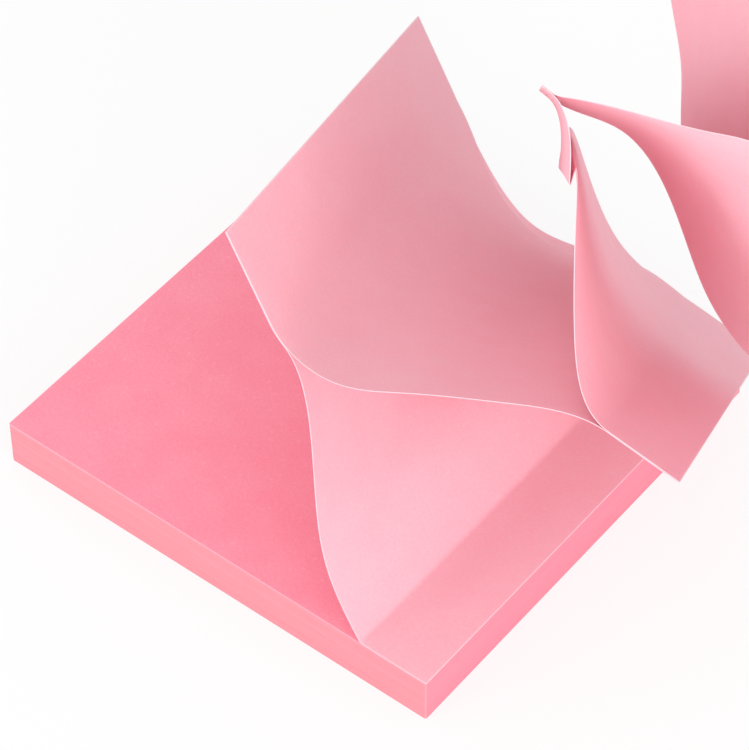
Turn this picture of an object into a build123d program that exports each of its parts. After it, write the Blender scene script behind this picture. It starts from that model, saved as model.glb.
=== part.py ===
from build123d import *
import os
import numpy as np

# A pad of fanfold notes: a block of sheets with five more sheets drawn up from its top.
# Each drawn sheet is glued to the one before along one edge, at the right and the left in turn,
# so the chain climbs in a zigzag. The block stands on z = 0, centred on the z axis, with the
# first glued edge at +X and the front at -Y.

# ---- driving dimensions, mm ----
pad_side = 76.0       # length and width of every sheet
pad_height = 8.0      # about eighty sheets
corner_round = 0.3    # vertical corners of the block
paper = 0.1           # one sheet
glue = 0.03           # adhesive coat between two sheets

# A glued edge (seam): its front corner, its back corner and the direction that the sheets
# leave it in. Heights are above the block's top. strip is how much stays glued.
# Points are for a 76 mm pad and grow with pad_side.
seams = [
    dict(front=(38, -38, 0), back=(38, 38, 0), leaves=(-1, 0, 0), strip=11),
    dict(front=(-1.5, -30, 57), back=(-23, 39, 32), leaves=(0.6, -0.1, -0.8), strip=14),
    dict(front=(64, -19.5, 44.5), back=(40.5, 39, 1.5), leaves=(-0.9, -0.15, 0.35), strip=11),
    dict(front=(40, -19, 100), back=(8.5, 25.5, 46), leaves=(0.9, 0.1, -0.4), strip=1.5),
    dict(front=(96, 9.5, 84.5), back=(62.5, 38, 21), leaves=(0.3, -0.65, 0.65), strip=12),
]
# The loose edge of the last sheet.
loose_front, loose_back = (50, 13, 117), (17.5, 43.5, 55)

# Points that each sheet's front edge and back edge pass through between its glued strips.
front_edges = [
    [(26, -38, 1), (19, -37, 16.5), (9, -30.5, 41)],
    [(18, -33, 44), (29, -31, 47.5), (40, -24.5, 47.5)],
    [(45.5, -17.5, 58), (42, -14, 83), (46, -21, 89)],
    [(43, -18, 99), (61, -14, 101), (65.5, -11, 99.5)],
    [(83.5, -6.5, 86.5), (75, -6.5, 93), (60.5, -1, 104.5)],
]
back_edges = [
    [(13.5, 38, 4), (0.5, 37, 4), (-9.5, 38, 10.5)],
    [(-13.5, 37, 20), (-4, 32.5, 14), (11.5, 32.5, 8.5), (16.5, 37.5, 6.5)],
    [(16, 35, 14), (7.5, 34.5, 31), (14.5, 22.5, 37.5)],
    [(21.5, 26.5, 45.5), (36, 22, 37.5), (46, 20, 26)],
    [(57, 24, 19.5), (26.5, 34, 46), (23.5, 38, 49.5)],
]
stations = 33         # points taken along each curved edge

scale = pad_side / 76.0


def unit(v):
    v = np.asarray(v, float)
    return v / np.linalg.norm(v)


def place(p):
    """A listed point in the part's frame."""
    return np.asarray(p, float) * scale + [0, 0, pad_height]


def smooth_curve(points, leave, arrive, count):
    """Cubic spline through points with given end directions: positions and directions."""
    p = np.array(points, float)
    h = np.linalg.norm(np.diff(p, axis=0), axis=1)
    n = len(p)
    a, b = np.eye(n), np.zeros((n, 3))
    b[0], b[-1] = leave, arrive
    for i in range(1, n - 1):
        a[i, i - 1 : i + 2] = h[i], 2 * (h[i - 1] + h[i]), h[i - 1]
        b[i] = 3 * (h[i] * (p[i] - p[i - 1]) / h[i - 1] + h[i - 1] * (p[i + 1] - p[i]) / h[i])
    slope = np.linalg.solve(a, b)
    ends = np.concatenate([[0], np.cumsum(h)])
    s = np.linspace(0, ends[-1], count)
    k = np.clip(np.searchsorted(ends, s, side="right") - 1, 0, n - 2)
    t, w = ((s - ends[k]) / h[k])[:, None], h[k][:, None]
    spot = (1 + 2 * t) * (1 - t) ** 2 * p[k] + t * (1 - t) ** 2 * w * slope[k]
    spot = spot + t * t * (3 - 2 * t) * p[k + 1] + t * t * (t - 1) * w * slope[k + 1]
    turn = 6 * t * (t - 1) / w * (p[k] - p[k + 1])
    turn = turn + (1 - t) * (1 - 3 * t) * slope[k] + t * (3 * t - 2) * slope[k + 1]
    return spot, turn


def seam_frame(number):
    """Corners of a seam, the direction its sheets leave in, and the side the newer sheet is on."""
    s = seams[number]
    front = place(s["front"])
    along = unit(place(s["back"]) - front)
    back = front + along * pad_side
    leaves = unit(np.array(s["leaves"], float) - along * np.dot(s["leaves"], along))
    newer = np.cross(leaves, along) * (1 if number % 2 else -1)
    return front, back, leaves, newer


def ruled(a, b):
    return Face.make_surface_from_curves(a, b)


def line(a, b):
    return Edge.make_line(tuple(a), tuple(b))


def sheet(number):
    """One drawn sheet: flat where it is glued, ruled between its two curved edges elsewhere."""
    f0, b0, leaves, newer = seam_frame(number)
    step = newer * (glue + paper / 2 if number == 0 else (glue + paper) / 2)
    strip = leaves * seams[number]["strip"] * scale
    start = [f0 + step, b0 + step]
    bends = [[p + strip] for p in start]
    for side, listed in enumerate((front_edges[number], back_edges[number])):
        bends[side] += [place(q) for q in listed]
    if number + 1 < len(seams):
        f1, b1, leaves1, newer1 = seam_frame(number + 1)
        step1 = -newer1 * (glue + paper) / 2
        strip1 = leaves1 * seams[number + 1]["strip"] * scale
        stop = [f1 + step1, b1 + step1]
        arrive = [-leaves1, -leaves1]
        for side in (0, 1):
            bends[side].append(stop[side] + strip1)
    else:
        stop, arrive = None, []
        for side, q in enumerate((loose_front, loose_back)):
            arrive.append(unit(place(q) - bends[side][-1]))
            bends[side].append(place(q))
    curves = [smooth_curve(bends[i], leaves, arrive[i], stations) for i in (0, 1)]
    across = curves[1][0] - curves[0][0]
    sign = 1 if np.dot(np.cross(leaves, across[0]), newer) > 0 else -1
    normals = [sign * np.cross(c[1], across) for c in curves]
    normals = [n / np.linalg.norm(n, axis=1)[:, None] for n in normals]

    faces, half = [], paper / 2
    rows = {}
    for face in (1, -1):
        for side in (0, 1):
            middle = [start[side], *curves[side][0], *([] if stop is None else [stop[side]])]
            tilt = [normals[side][0], *normals[side], *([] if stop is None else [normals[side][-1]])]
            rows[face, side] = [m + face * half * n for m, n in zip(middle, tilt)]
    corner = [rows[1, 0], rows[1, 1], rows[-1, 1], rows[-1, 0]]
    spans = [[line(r[0], r[1]) for r in corner]]
    spans.append([Edge.make_spline([tuple(q) for q in r[1 : stations + 1]]) for r in corner])
    if stop is not None:
        spans.append([line(r[stations], r[stations + 1]) for r in corner])
    for span in spans:
        faces += [ruled(span[i], span[(i + 1) % 4]) for i in range(4)]
    for at in (0, -1):
        faces.append(ruled(line(corner[0][at], corner[1][at]), line(corner[3][at], corner[2][at])))
    return Solid(Shell(faces))


block = Pos(0, 0, pad_height / 2) * Box(pad_side, pad_side, pad_height)
block = fillet(block.edges().filter_by(Axis.Z), corner_round)

os.makedirs("parts", exist_ok=True)
export_step(block, "parts/pad_block.step")
for number in range(len(seams)):
    export_step(sheet(number), f"parts/sheet_{number + 1}.step")
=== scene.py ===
import bmesh
import bpy
import numpy as np
from math import radians
from mathutils import Matrix, Vector


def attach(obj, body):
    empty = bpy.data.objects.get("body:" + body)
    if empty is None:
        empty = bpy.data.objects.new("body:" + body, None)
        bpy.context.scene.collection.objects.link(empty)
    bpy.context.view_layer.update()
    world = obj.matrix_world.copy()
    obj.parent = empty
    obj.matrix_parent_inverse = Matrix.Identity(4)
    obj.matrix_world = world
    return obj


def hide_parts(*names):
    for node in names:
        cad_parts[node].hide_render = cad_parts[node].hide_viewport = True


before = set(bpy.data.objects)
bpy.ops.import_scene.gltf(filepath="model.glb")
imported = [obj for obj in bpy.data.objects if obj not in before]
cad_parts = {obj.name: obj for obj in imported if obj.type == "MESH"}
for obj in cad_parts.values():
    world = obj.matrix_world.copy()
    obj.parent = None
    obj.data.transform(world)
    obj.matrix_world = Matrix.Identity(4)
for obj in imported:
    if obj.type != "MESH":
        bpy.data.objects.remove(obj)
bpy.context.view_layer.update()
scene = bpy.context.scene
mm = 0.001

# ---------------------------------------------------------------- camera
# A long lens a little over half a metre away, at the front right and high up. It looks down at
# the block and at the run of sheets, which runs out of view at the upper right.
camera_at = Vector((0.2278, -0.2875, 0.4269))
looks_at = Vector((-0.0066, 0.0073, 0.0))
camera_roll = radians(-0.4)
lens = 184.2

camera = bpy.data.objects.new("camera", bpy.data.cameras.new("camera"))
camera.data.lens = lens
camera.data.sensor_width = 36.0
camera.data.clip_start = 0.01
turned = (looks_at - camera_at).to_track_quat("-Z", "Y").to_matrix().to_4x4()
camera.matrix_world = (
    Matrix.Translation(camera_at) @ turned @ Matrix.Rotation(camera_roll, 4, "Z")
)
scene.collection.objects.link(camera)
scene.camera = camera


# ---------------------------------------------------------------- block of sheets
# Eighty or so cut sheets in one glued stack. Each is a little smaller than the next by chance,
# so that the cut sides show fine layers, and knife marks run across those sides at a slant.
pad_side = 76 * mm
pad_height = 8 * mm
corner_round = 0.3 * mm
sheets_in_block = 80
most_short = 0.0006  # share of the side by which a sheet may be short
sheet_height = pad_height / sheets_in_block
top_pink = "#F58B9F"
glued_pink = "#F58798"
cut_pink = "#DB868F"
# The palest pink serves the grain and the layers, and also the painted highlight along the block's
# edges.
pale_and_highlight_pink = "#FDB9C8"
mark_pink = "#E27F92"
# The painted highlight reaches this far in from the block's edges.
edge_highlight_width = 0.22 * mm  # how far in the block's edges are paler
layer_size = 0.16 * mm  # under two sheets, since one would be too fine to show
mark_width = 0.9 * mm  # knife marks


def colour(code):
    """An sRGB hex code as linear RGBA."""
    parts = [int(code[i : i + 2], 16) / 255 for i in (1, 3, 5)]
    return [p / 12.92 if p <= 0.04045 else ((p + 0.055) / 1.055) ** 2.4 for p in parts] + [1.0]


def add(tree, kind, inputs=None, **settings):
    """A node with its settings, its inputs either linked or given as values."""
    node = tree.nodes.new(kind)
    for name, value in settings.items():
        setattr(node, name, value)
    for key, value in (inputs or {}).items():
        if isinstance(value, bpy.types.NodeSocket):
            tree.links.new(value, node.inputs[key])
        else:
            node.inputs[key].default_value = value
    return node


def maths(tree, operation, *values, clamp=False):
    return add(
        tree, "ShaderNodeMath", dict(enumerate(values)), operation=operation, use_clamp=clamp
    ).outputs[0]


def mixed(tree, factor, first, second):
    node = add(tree, "ShaderNodeMix", {0: factor, 6: first, 7: second}, data_type="RGBA")
    return node.outputs[2]


def ramp(tree, value, low, high, to_low=0.0, to_high=1.0):
    node = add(
        tree,
        "ShaderNodeMapRange",
        {0: value, 1: low, 2: high, 3: to_low, 4: to_high},
        interpolation_type="SMOOTHSTEP",
    )
    return node.outputs[0]


def noise(tree, vector, size, detail=2.0, roughness=0.5):
    """Noise whose blotches are about size across, in metres."""
    node = add(
        tree,
        "ShaderNodeTexNoise",
        {"Vector": vector, "Scale": 1.0 / size, "Detail": detail, "Roughness": roughness},
    )
    return node.outputs["Fac"]


def new_material(name):
    material = bpy.data.materials.new(name)
    material.use_nodes = True
    material.node_tree.nodes.clear()
    return material, material.node_tree


def paper_grain(tree, vector):
    """Uncoated paper: how pale each spot is, from soft clouds, fibre grain and flecks.

    Real fibres are some 0.02 mm wide, too fine to show, so the grain is drawn coarser.
    """
    clouds = noise(tree, vector, 6 * mm, 3.0)
    grain = noise(tree, vector, 0.42 * mm, 4.0, 0.7)
    flecks = ramp(tree, noise(tree, vector, 0.6 * mm, 1.0), 0.68, 0.74)
    pale = maths(tree, "MULTIPLY", ramp(tree, grain, 0.25, 0.75), 0.30)
    pale = maths(tree, "MULTIPLY_ADD", ramp(tree, clouds, 0.3, 0.7), 0.10, pale)
    pale = maths(tree, "MULTIPLY_ADD", flecks, 0.22, pale, clamp=True)
    return pale, grain


def object_from(name, mesh):
    piece = bpy.data.objects.new(name, mesh)
    scene.collection.objects.link(piece)
    return piece


# One cut sheet: a square with rounded corners and the thickness of a sheet.
cut = bmesh.new()
half, turns = pad_side / 2, 5
outline = []
for quarter in range(4):
    middle = Vector((half - corner_round, half - corner_round))
    for step in range(turns):
        angle = radians(90 * step / (turns - 1))
        at = middle + corner_round * Vector((np.cos(angle), np.sin(angle)))
        outline.append(Matrix.Rotation(radians(90 * quarter), 2) @ at)
low = [cut.verts.new((p.x, p.y, 0)) for p in outline]
high = [cut.verts.new((p.x, p.y, sheet_height)) for p in outline]
cut.faces.new(list(reversed(low)))
cut.faces.new(high)
for i in range(len(outline)):
    j = (i + 1) % len(outline)
    cut.faces.new((low[i], low[j], high[j], high[i]))
bmesh.ops.recalc_face_normals(cut, faces=cut.faces)
one_sheet = bpy.data.meshes.new("cut_sheet")
cut.to_mesh(one_sheet)
cut.free()

# Dyed paper seen as a stack: grain on the top, on the cut sides layers and knife marks, and a
# painted highlight along the top and upright edges.
block_paper, tree = new_material("dyed_paper_block")
place = add(tree, "ShaderNodeTexCoord").outputs["Object"]
split = add(tree, "ShaderNodeSeparateXYZ", {0: place})
inset = [
    maths(tree, "SUBTRACT", half, maths(tree, "ABSOLUTE", split.outputs[axis])) for axis in (0, 1)
]
below_top = maths(tree, "SUBTRACT", pad_height, split.outputs[2])
# The middle one of the three distances is small only along an edge of the block.
nearest = maths(tree, "MINIMUM", *inset)
farthest = maths(tree, "MAXIMUM", *inset)
edge_distance = maths(tree, "MAXIMUM", nearest, maths(tree, "MINIMUM", farthest, below_top))
# Painted highlight: along the edges the colour is paled as if they caught the light.
on_edge_highlight = ramp(tree, edge_distance, 0.0, edge_highlight_width, 1.0, 0.0)
on_side = ramp(tree, below_top, 0.02 * mm, 0.08 * mm)
pale, grain = paper_grain(tree, place)
top = mixed(tree, pale, colour(top_pink), colour(pale_and_highlight_pink))
layers = noise(
    tree,
    add(tree, "ShaderNodeMapping", {"Vector": place, "Scale": (0.02, 0.02, 1.0)}).outputs[0],
    layer_size,
    3.0,
)
slanted = add(
    tree,
    "ShaderNodeMapping",
    {"Vector": place, "Rotation": (0.0, radians(45), 0.0), "Scale": (0.04, 0.04, 1.0)},
)
streaks = noise(tree, slanted.outputs[0], mark_width, 5.0, 0.75)
marks = ramp(tree, streaks, 0.58, 0.70)
# The front and back sides are cut bare; the other two carry a thin coat of glue.
cut_side = ramp(tree, inset[1], 0.2 * mm, 0.4 * mm, 1.0, 0.0)
side = mixed(tree, cut_side, colour(glued_pink), colour(cut_pink))
side = mixed(tree, maths(tree, "MULTIPLY", layers, 0.3), side, colour(pale_and_highlight_pink))
side = mixed(tree, maths(tree, "MULTIPLY", marks, 0.30), side, colour(mark_pink))
tint = mixed(tree, on_side, top, side)
# The painted highlight along the edges, in the palest pink.
tint = mixed(tree, maths(tree, "MULTIPLY", on_edge_highlight, 0.75), tint, colour(pale_and_highlight_pink))
height = maths(tree, "MULTIPLY_ADD", layers, on_side, maths(tree, "MULTIPLY", grain, 0.7))
bump = add(tree, "ShaderNodeBump", {"Height": height, "Strength": 0.35, "Distance": 0.04 * mm})
shader = add(
    tree,
    "ShaderNodeBsdfPrincipled",
    {
        "Base Color": tint,
        "Roughness": ramp(tree, grain, 0.3, 0.7, 0.78, 0.9),
        "IOR": 1.5,
        "Specular IOR Level": 0.25,
        "Normal": bump.outputs[0],
    },
)
add(tree, "ShaderNodeOutputMaterial", {"Surface": shader.outputs[0]})

# The stack: one cut sheet on each point of an upright line, shortened by chance.
stack = bpy.data.node_groups.new("sheet_stack", "GeometryNodeTree")
sockets = {}
for name, kind in (
    ("Geometry", "Geometry"),
    ("Sheets", "Int"),
    ("Sheet height", "Float"),
    ("Most short", "Float"),
    ("Seed", "Int"),
    ("Paper", "Material"),
):
    sockets[name] = stack.interface.new_socket(
        name, in_out="INPUT", socket_type="NodeSocket" + kind
    ).identifier
stack.interface.new_socket("Geometry", in_out="OUTPUT", socket_type="NodeSocketGeometry")
given = add(stack, "NodeGroupInput").outputs
rise = add(stack, "ShaderNodeCombineXYZ", {"Z": given["Sheet height"]})
line = add(
    stack, "GeometryNodeMeshLine", {"Count": given["Sheets"], "Offset": rise.outputs[0]}
)
shortest = maths(stack, "SUBTRACT", 1.0, given["Most short"])
size_x = add(stack, "FunctionNodeRandomValue", {2: shortest, 3: 1.0, 8: given["Seed"]})
size_y = add(
    stack,
    "FunctionNodeRandomValue",
    {2: shortest, 3: 1.0, 8: maths(stack, "ADD", given["Seed"], 1.0)},
)
size = add(
    stack, "ShaderNodeCombineXYZ", {0: size_x.outputs[1], 1: size_y.outputs[1], 2: 1.0}
)
copies = add(
    stack,
    "GeometryNodeInstanceOnPoints",
    {"Points": line.outputs[0], "Instance": given["Geometry"], "Scale": size.outputs[0]},
)
whole = add(stack, "GeometryNodeRealizeInstances", {0: copies.outputs[0]})
dyed = add(
    stack, "GeometryNodeSetMaterial", {"Geometry": whole.outputs[0], "Material": given["Paper"]}
)
add(stack, "NodeGroupOutput", {0: dyed.outputs[0]})

maker = object_from("stack_maker", one_sheet)
stacked = maker.modifiers.new("stack", "NODES")
stacked.node_group = stack
for name, value in (
    ("Sheets", sheets_in_block),
    ("Sheet height", sheet_height),
    ("Most short", most_short),
    ("Seed", 7),
    ("Paper", block_paper),
):
    stacked[sockets[name]] = value
bpy.context.view_layer.update()
seen = maker.evaluated_get(bpy.context.evaluated_depsgraph_get())
block = object_from("block_of_sheets", bpy.data.meshes.new_from_object(seen))
bpy.data.objects.remove(maker)
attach(block, "root")
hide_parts("pad_block")


# ---------------------------------------------------------------- drawn sheets
# Five thin sheets, each glued to the one before along one edge, at the right and the left in
# turn. Each is flat where it is glued, and elsewhere straight lines join its two curved edges.
paper = 0.1 * mm
glue = 0.03 * mm
along_curve = 129  # rows of points along the bend
along_strip = 4  # rows of faces on a glued strip
across_sheet = 48  # columns of faces from the front edge to the back edge
sheet_pink = "#FFBDCA"
# The palest pink serves the grain and the painted highlight along each sheet's cut edge. The rim
# numbers set how far in that painted highlight reaches and how strong it is.
sheet_pale_and_highlight_pink = "#FFDDE4"
rim_highlight_width = 0.25 * mm  # the cut edge, and how far in it is paler
rim_highlight_strength = 0.8
lit_through = 0.15  # share of the light that comes through a sheet

# Front corner, back corner, the way that the sheets leave, and the width of the glued strip,
# in mm above the block's top.
seams = [
    dict(front=(38, -38, 0), back=(38, 38, 0), leaves=(-1, 0, 0), strip=11),
    dict(front=(-1.5, -30, 57), back=(-23, 39, 32), leaves=(0.6, -0.1, -0.8), strip=14),
    dict(front=(64, -19.5, 44.5), back=(40.5, 39, 1.5), leaves=(-0.9, -0.15, 0.35), strip=11),
    dict(front=(40, -19, 100), back=(8.5, 25.5, 46), leaves=(0.9, 0.1, -0.4), strip=1.5),
    dict(front=(96, 9.5, 84.5), back=(62.5, 38, 21), leaves=(0.3, -0.65, 0.65), strip=12),
]
# The loose edge of the last sheet.
loose_edge = [(50, 13, 117), (17.5, 43.5, 55)]
# Where each sheet's front edge and back edge pass between its glued strips.
edges = [
    [
        [(26, -38, 1), (19, -37, 16.5), (9, -30.5, 41)],
        [(13.5, 38, 4), (0.5, 37, 4), (-9.5, 38, 10.5)],
    ],
    [
        [(18, -33, 44), (29, -31, 47.5), (40, -24.5, 47.5)],
        [(-13.5, 37, 20), (-4, 32.5, 14), (11.5, 32.5, 8.5), (16.5, 37.5, 6.5)],
    ],
    [
        [(45.5, -17.5, 58), (42, -14, 83), (46, -21, 89)],
        [(16, 35, 14), (7.5, 34.5, 31), (14.5, 22.5, 37.5)],
    ],
    [
        [(43, -18, 99), (61, -14, 101), (65.5, -11, 99.5)],
        [(21.5, 26.5, 45.5), (36, 22, 37.5), (46, 20, 26)],
    ],
    [
        [(83.5, -6.5, 86.5), (75, -6.5, 93), (60.5, -1, 104.5)],
        [(57, 24, 19.5), (26.5, 34, 46), (23.5, 38, 49.5)],
    ],
]


def unit(v):
    return v / np.linalg.norm(v)


def above_block(point):
    return np.array(point, float) * mm + [0.0, 0.0, pad_height]


def smooth_curve(points, leave, arrive, count):
    """Cubic spline through points with given end directions: positions and directions."""
    p = np.array(points, float)
    h = np.linalg.norm(np.diff(p, axis=0), axis=1)
    n = len(p)
    a, b = np.eye(n), np.zeros((n, 3))
    b[0], b[-1] = leave, arrive
    for i in range(1, n - 1):
        a[i, i - 1 : i + 2] = h[i], 2 * (h[i - 1] + h[i]), h[i - 1]
        b[i] = 3 * (h[i] * (p[i] - p[i - 1]) / h[i - 1] + h[i - 1] * (p[i + 1] - p[i]) / h[i])
    slope = np.linalg.solve(a, b)
    ends = np.concatenate([[0], np.cumsum(h)])
    s = np.linspace(0, ends[-1], count)
    k = np.clip(np.searchsorted(ends, s, side="right") - 1, 0, n - 2)
    t, w = ((s - ends[k]) / h[k])[:, None], h[k][:, None]
    spot = (1 + 2 * t) * (1 - t) ** 2 * p[k] + t * (1 - t) ** 2 * w * slope[k]
    spot = spot + t * t * (3 - 2 * t) * p[k + 1] + t * t * (t - 1) * w * slope[k + 1]
    turn = 6 * t * (t - 1) / w * (p[k] - p[k + 1])
    turn = turn + (1 - t) * (1 - 3 * t) * slope[k] + t * (3 * t - 2) * slope[k + 1]
    return spot, turn


def seam_frame(number):
    """Corners of a seam, the direction its sheets leave in, and the side the newer sheet is on."""
    seam = seams[number]
    front = above_block(seam["front"])
    along = unit(above_block(seam["back"]) - front)
    leaves = unit(np.array(seam["leaves"], float) - along * np.dot(seam["leaves"], along))
    newer = np.cross(leaves, along) * (1 if number % 2 else -1)
    return front, front + along * pad_side, leaves, newer


def sheet_mesh(number):
    """The closed mesh of one drawn sheet, with a map from 0 to 1 along each side when flat."""
    f0, b0, leaves, newer = seam_frame(number)
    step = newer * (glue + paper / 2 if number == 0 else (glue + paper) / 2)
    start = [f0 + step, b0 + step]
    bends = [[p + leaves * seams[number]["strip"] * mm] for p in start]
    for side in (0, 1):
        bends[side] += [above_block(q) for q in edges[number][side]]
    if number + 1 < len(seams):
        f1, b1, leaves1, newer1 = seam_frame(number + 1)
        step1 = -newer1 * (glue + paper) / 2
        stop = [f1 + step1, b1 + step1]
        arrive = [-leaves1, -leaves1]
        for side in (0, 1):
            bends[side].append(stop[side] + leaves1 * seams[number + 1]["strip"] * mm)
    else:
        stop, arrive = None, []
        for side in (0, 1):
            q = above_block(loose_edge[side])
            arrive.append(unit(q - bends[side][-1]))
            bends[side].append(q)
    curves = [smooth_curve(bends[i], leaves, arrive[i], along_curve) for i in (0, 1)]
    between = curves[1][0] - curves[0][0]
    sign = 1 if np.dot(np.cross(leaves, between[0]), newer) > 0 else -1
    normals = [sign * np.cross(c[1], between) for c in curves]
    normals = [n / np.linalg.norm(n, axis=1)[:, None] for n in normals]

    # Rows of points on the front edge and the back edge, with the flat strips at both ends.
    rows, tilts = [], []
    for side in (0, 1):
        share = np.linspace(0, 1, along_strip + 1)[:-1, None]
        first = start[side] + share * (curves[side][0][0] - start[side])
        row, tilt = [first, curves[side][0]], [np.tile(normals[side][0], (along_strip, 1))]
        tilt.append(normals[side])
        if stop is not None:
            last = curves[side][0][-1]
            row.append(stop[side] + share[::-1] * (last - stop[side]))
            tilt.append(np.tile(normals[side][-1], (along_strip, 1)))
        rows.append(np.concatenate(row))
        tilts.append(np.concatenate(tilt))
    share = np.linspace(0, 1, across_sheet + 1)[None, :, None]
    middle = rows[0][:, None] * (1 - share) + rows[1][:, None] * share
    tilt = tilts[0][:, None] * (1 - share) + tilts[1][:, None] * share
    upper, lower = middle + tilt * paper / 2, middle - tilt * paper / 2

    count, wide = middle.shape[:2]

    def number_of(face, i, j):
        return (face * count + i) * wide + j

    quads, rim = [], []
    for i in range(count - 1):
        for j in range(wide - 1):
            ring = ((i, j), (i + 1, j), (i + 1, j + 1), (i, j + 1))
            quads.append([number_of(0, *q) for q in ring])
            quads.append([number_of(1, *q) for q in reversed(ring)])
    border = [(i, 0) for i in range(count)] + [(count - 1, j) for j in range(1, wide)]
    border += [(i, wide - 1) for i in range(count - 2, -1, -1)]
    border += [(0, j) for j in range(wide - 2, 0, -1)]
    for q, r in zip(border, border[1:] + border[:1]):
        rim.append([number_of(1, *q), number_of(1, *r), number_of(0, *r), number_of(0, *q)])
    mesh = bpy.data.meshes.new(f"drawn_sheet_{number + 1}")
    mesh.from_pydata(np.concatenate([upper.reshape(-1, 3), lower.reshape(-1, 3)]), [], quads + rim)
    mesh.shade_smooth()
    mesh.set_sharp_from_angle(angle=radians(50))

    shape = bmesh.new()
    shape.from_mesh(mesh)
    bmesh.ops.recalc_face_normals(shape, faces=shape.faces)
    shape.to_mesh(mesh)
    shape.free()
    flat = mesh.uv_layers.new(name="flat_sheet")
    index = np.zeros(len(mesh.loops), int)
    mesh.loops.foreach_get("vertex_index", index)
    index %= count * wide
    run = np.concatenate([[0], np.cumsum(np.linalg.norm(np.diff(middle[:, 0], axis=0), axis=1))])
    run = run / run[-1]
    spots = np.stack([run[index // wide], (index % wide) / (wide - 1)], axis=1)
    flat.data.foreach_set("uv", spots.astype(np.float32).ravel())
    return mesh


# Dyed paper one sheet thick: grain, a painted highlight along the cut edges, and some light coming
# through.
thin_paper, tree = new_material("dyed_paper_sheet")
place = add(tree, "ShaderNodeTexCoord")
pale, grain = paper_grain(tree, place.outputs["Object"])
flat = add(
    tree, "ShaderNodeSeparateXYZ", {0: add(tree, "ShaderNodeUVMap", uv_map="flat_sheet").outputs[0]}
)
from_edge = [
    maths(tree, "MINIMUM", flat.outputs[axis], maths(tree, "SUBTRACT", 1.0, flat.outputs[axis]))
    for axis in (0, 1)
]
near_edge = maths(tree, "MULTIPLY", maths(tree, "MINIMUM", *from_edge), pad_side)
# Painted highlight: each sheet is paler close to its cut edges.
on_edge_highlight = ramp(tree, near_edge, 0.0, rim_highlight_width, 1.0, 0.0)
tint = mixed(tree, pale, colour(sheet_pink), colour(sheet_pale_and_highlight_pink))
tint = mixed(tree, maths(tree, "MULTIPLY", on_edge_highlight, rim_highlight_strength), tint, colour(sheet_pale_and_highlight_pink))
bump = add(tree, "ShaderNodeBump", {"Height": grain, "Strength": 0.3, "Distance": 0.03 * mm})
shader = add(
    tree,
    "ShaderNodeBsdfPrincipled",
    {
        "Base Color": tint,
        "Roughness": ramp(tree, grain, 0.3, 0.7, 0.78, 0.9),
        "IOR": 1.5,
        "Specular IOR Level": 0.25,
        "Normal": bump.outputs[0],
    },
)
through = add(tree, "ShaderNodeBsdfTranslucent", {"Color": tint, "Normal": bump.outputs[0]})
both = add(
    tree, "ShaderNodeMixShader", {0: lit_through, 1: shader.outputs[0], 2: through.outputs[0]}
)
add(tree, "ShaderNodeOutputMaterial", {"Surface": both.outputs[0]})

for number in range(len(seams)):
    drawn = object_from(f"drawn_sheet_{number + 1}", sheet_mesh(number))
    drawn.data.materials.append(thin_paper)
    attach(drawn, "root")
    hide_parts(f"sheet_{number + 1}")


# ---------------------------------------------------------------- floor and light
# A wide floor of white paper that keeps a soft shadow, under an even white surround. Two large
# soft lamps stand low at the front, one each side, and light the cut sides of the block.
reach = 3.0  # from the middle to each side of the floor
floor_mesh = bpy.data.meshes.new("floor")
floor_mesh.from_pydata(
    [(-reach, -reach, 0), (reach, -reach, 0), (reach, reach, 0), (-reach, reach, 0)],
    [],
    [(0, 1, 2, 3)],
)
floor = object_from("floor", floor_mesh)
white_floor, tree = new_material("white_paper_floor")
ray = add(tree, "ShaderNodeLightPath").outputs
shown = maths(tree, "MAXIMUM", ray["Is Camera Ray"], ray["Is Glossy Ray"])
shown = maths(tree, "MAXIMUM", shown, ray["Is Transmission Ray"])
matt = add(tree, "ShaderNodeBsdfDiffuse", {"Color": colour("#F4F4F4")})
bright = add(tree, "ShaderNodeEmission", {"Color": colour("#FFFFFF"), "Strength": 1.0})
surface = add(
    tree,
    "ShaderNodeMixShader",
    {0: maths(tree, "MULTIPLY", shown, 0.8), 1: matt.outputs[0], 2: bright.outputs[0]},
)
add(tree, "ShaderNodeOutputMaterial", {"Surface": surface.outputs[0]})
floor_mesh.materials.append(white_floor)

world = bpy.data.worlds.new("studio")
scene.world = world
world.use_nodes = True
tree = world.node_tree
tree.nodes.clear()
ray = add(tree, "ShaderNodeLightPath").outputs
strength = maths(tree, "MULTIPLY_ADD", ray["Is Camera Ray"], 0.1, 0.9)
sky = add(tree, "ShaderNodeBackground", {"Color": colour("#FFFFFF"), "Strength": strength})
add(tree, "ShaderNodeOutputWorld", {"Surface": sky.outputs[0]})

lamps_aim = Vector((0.0, 0.0, 0.03))
for name, at, side, watts in (
    ("lamp_left", (-0.5, -1.0, 0.35), 0.6, 4.0),
    ("lamp_right", (0.9, -0.5, 0.25), 0.8, 7.0),
):
    data = bpy.data.lights.new(name, "AREA")
    data.size, data.energy = side, watts
    lamp = bpy.data.objects.new(name, data)
    lamp.location = at
    lamp.rotation_euler = (lamps_aim - Vector(at)).to_track_quat("-Z", "Y").to_euler()
    scene.collection.objects.link(lamp)

scene.view_settings.view_transform = "Standard"
